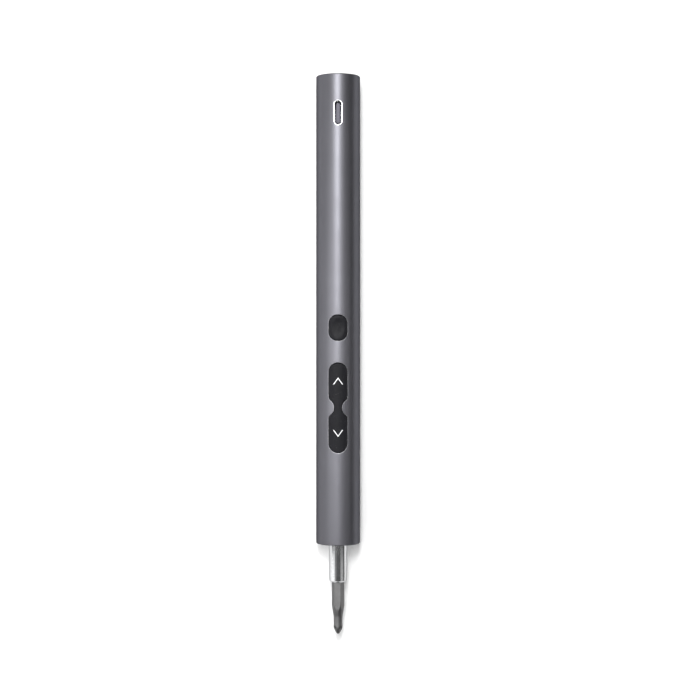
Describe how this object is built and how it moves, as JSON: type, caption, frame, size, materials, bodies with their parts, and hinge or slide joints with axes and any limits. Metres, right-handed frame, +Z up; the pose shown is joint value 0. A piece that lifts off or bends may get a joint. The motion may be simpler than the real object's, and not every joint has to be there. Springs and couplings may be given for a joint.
{
  "type": "electric torque screwdriver",
  "caption": "Pen-form electric torque screwdriver: slim dark tube, charging slot, oval mode button, hourglass up/down button, polished bit holder and a cross-point hex bit.",
  "frame": {"origin": "centre of the bounding box at the table, with the tool lying on its side", "axes": "+Y along the tool towards its tail, the bit pointing to -Y; +Z up, the side with the buttons and the charging slot; +X across"},
  "size_m": [0.016, 0.203, 0.0162],
  "materials": {
    "anodised_aluminium": "satin, fine bead-blasted and anodised dark grey",
    "machined_aluminium": "machined",
    "clear_plastic": "clear, lightly frosted",
    "circuit_board": "solder mask on glass-fibre laminate",
    "bearing_steel": "ground",
    "polished_steel": "polished",
    "plated_steel": "nickel plated",
    "screw_steel": "zinc plated",
    "spring_steel": "blackened",
    "sintered_steel": "sintered, lightly oiled",
    "laminated_steel": "stacked laminations",
    "bit_steel": "sand-blasted grey tool steel",
    "brass": "machined",
    "copper": "bare and enamelled copper",
    "nickel": "bright strip",
    "gold_plating": "gold plated",
    "magnet": "nickel plated magnet",
    "black_plastic": "moulded",
    "chip_plastic": "moulded",
    "switch_plastic": "moulded, metal cover",
    "button_plastic": "black, soft satin, white printed arrow heads",
    "soft_rubber": "soft moulded",
    "wrap_film": "heat-shrunk film",
    "lead_red": "insulated wire",
    "lead_black": "insulated wire"
  },
  "bodies": {
    "housing": {"barrel_tube": "anodised_aluminium", "nose_ring": "anodised_aluminium", "tail_cap": "anodised_aluminium", "light_lens": "clear_plastic", "leds": "clear_plastic", "led_board": "circuit_board", "main_board": "circuit_board", "charge_board": "circuit_board", "bearing_block": "machined_aluminium", "bearing_outer_race": "bearing_steel", "ring_gear_case": "sintered_steel", "gearbox_rear_plate": "sintered_steel", "gearbox_screws": "screw_steel", "chassis_screws": "screw_steel", "motor_can": "plated_steel", "motor_magnets": "magnet", "motor_bushes": "brass", "motor_end_cap": "black_plastic", "motor_brushes": "copper", "motor_sleeve": "soft_rubber", "chassis_tray": "black_plastic", "board_chips": "chip_plastic", "charge_chips": "chip_plastic", "tact_switches": "switch_plastic", "pivot_bracket": "plated_steel", "battery_cell": "plated_steel", "battery_wrap": "wrap_film", "battery_tabs": "nickel", "battery_leads": "lead_red", "board_leads": "lead_black", "usb_shell": "plated_steel", "usb_tongue": "black_plastic", "usb_contacts": "gold_plating"},
    "spindle": {"bit_holder": "polished_steel", "bit_magnet": "magnet", "bearing_inner_race": "bearing_steel", "e_clip": "spring_steel", "output_carrier": "sintered_steel"},
    "ball_cage": {"bearing_balls": "polished_steel", "bearing_cage": "brass"},
    "stage_2_carrier": {"carrier_2": "sintered_steel"},
    "stage_1_carrier": {"carrier_1": "sintered_steel"},
    "rotor": {"motor_pinion": "brass", "motor_shaft": "bearing_steel", "armature_core": "laminated_steel", "armature_windings": "copper", "commutator": "copper"},
    "bit": {"bit": "bit_steel"},
    "mode_button": {"mode_button": "button_plastic"},
    "updown_button": {"updown_button": "button_plastic"},
    "planet_3a": {"planet_3a": "sintered_steel"},
    "planet_3b": {"planet_3b": "sintered_steel"},
    "planet_3c": {"planet_3c": "sintered_steel"},
    "planet_2a": {"planet_2a": "sintered_steel"},
    "planet_2b": {"planet_2b": "sintered_steel"},
    "planet_2c": {"planet_2c": "sintered_steel"},
    "planet_1a": {"planet_1a": "sintered_steel"},
    "planet_1b": {"planet_1b": "sintered_steel"},
    "planet_1c": {"planet_1c": "sintered_steel"}
  },
  "joints": [
    {"name": "spindle_turn", "type": "hinge", "parent": "housing", "child": "spindle", "pos_m": [0, -0.0685, 0.008], "axis": [0, 1, 0], "continuous": true},
    {"name": "bit_slide", "type": "slide", "parent": "spindle", "child": "bit", "axis": [0, -1, 0], "range_m": [0, 0.012]},
    {"name": "mode_button_press", "type": "slide", "parent": "housing", "child": "mode_button", "axis": [0, 0, -1], "range_m": [0, 0.0003], "stiffness_N_per_m": 2000, "springref_m": -0.0002},
    {"name": "updown_button_rock", "type": "hinge", "parent": "housing", "child": "updown_button", "pos_m": [0, -0.0189, 0.013], "axis": [1, 0, 0], "range_deg": [-0.8, 0.8], "stiffness_Nm_per_rad": 1},
    {"name": "bearing_cage_turn", "type": "hinge", "parent": "housing", "child": "ball_cage", "pos_m": [0, -0.06405, 0.008], "axis": [0, 1, 0], "continuous": true},
    {"name": "stage_2_carrier_turn", "type": "hinge", "parent": "housing", "child": "stage_2_carrier", "pos_m": [0, -0.0575, 0.008], "axis": [0, 1, 0], "continuous": true},
    {"name": "stage_1_carrier_turn", "type": "hinge", "parent": "housing", "child": "stage_1_carrier", "pos_m": [0, -0.0535, 0.008], "axis": [0, 1, 0], "continuous": true},
    {"name": "rotor_turn", "type": "hinge", "parent": "housing", "child": "rotor", "pos_m": [0, -0.0425, 0.008], "axis": [0, 1, 0], "continuous": true},
    {"name": "planet_3a_turn", "type": "hinge", "parent": "spindle", "child": "planet_3a", "pos_m": [0.0036, -0.0585, 0.008], "axis": [0, 1, 0], "continuous": true},
    {"name": "planet_3b_turn", "type": "hinge", "parent": "spindle", "child": "planet_3b", "pos_m": [-0.0018, -0.0585, 0.00488], "axis": [0, 1, 0], "continuous": true},
    {"name": "planet_3c_turn", "type": "hinge", "parent": "spindle", "child": "planet_3c", "pos_m": [-0.0018, -0.0585, 0.01112], "axis": [0, 1, 0], "continuous": true},
    {"name": "planet_2a_turn", "type": "hinge", "parent": "stage_2_carrier", "child": "planet_2a", "pos_m": [0.0036, -0.0546, 0.008], "axis": [0, 1, 0], "continuous": true},
    {"name": "planet_2b_turn", "type": "hinge", "parent": "stage_2_carrier", "child": "planet_2b", "pos_m": [-0.0018, -0.0546, 0.00488], "axis": [0, 1, 0], "continuous": true},
    {"name": "planet_2c_turn", "type": "hinge", "parent": "stage_2_carrier", "child": "planet_2c", "pos_m": [-0.0018, -0.0546, 0.01112], "axis": [0, 1, 0], "continuous": true},
    {"name": "planet_1a_turn", "type": "hinge", "parent": "stage_1_carrier", "child": "planet_1a", "pos_m": [0.0036, -0.051, 0.008], "axis": [0, 1, 0], "continuous": true},
    {"name": "planet_1b_turn", "type": "hinge", "parent": "stage_1_carrier", "child": "planet_1b", "pos_m": [-0.0018, -0.051, 0.00488], "axis": [0, 1, 0], "continuous": true},
    {"name": "planet_1c_turn", "type": "hinge", "parent": "stage_1_carrier", "child": "planet_1c", "pos_m": [-0.0018, -0.051, 0.01112], "axis": [0, 1, 0], "continuous": true}
  ],
  "couplings": [
    {"joint": "bearing_cage_turn", "follows": "spindle_turn", "ratio": 0.425},
    {"joint": "stage_2_carrier_turn", "follows": "spindle_turn", "ratio": 4},
    {"joint": "stage_1_carrier_turn", "follows": "spindle_turn", "ratio": 16},
    {"joint": "rotor_turn", "follows": "spindle_turn", "ratio": 64},
    {"joint": "planet_3a_turn", "follows": "spindle_turn", "ratio": -3},
    {"joint": "planet_3b_turn", "follows": "spindle_turn", "ratio": -3},
    {"joint": "planet_3c_turn", "follows": "spindle_turn", "ratio": -3},
    {"joint": "planet_2a_turn", "follows": "spindle_turn", "ratio": -12},
    {"joint": "planet_2b_turn", "follows": "spindle_turn", "ratio": -12},
    {"joint": "planet_2c_turn", "follows": "spindle_turn", "ratio": -12},
    {"joint": "planet_1a_turn", "follows": "spindle_turn", "ratio": -48},
    {"joint": "planet_1b_turn", "follows": "spindle_turn", "ratio": -48},
    {"joint": "planet_1c_turn", "follows": "spindle_turn", "ratio": -48}
  ]
}
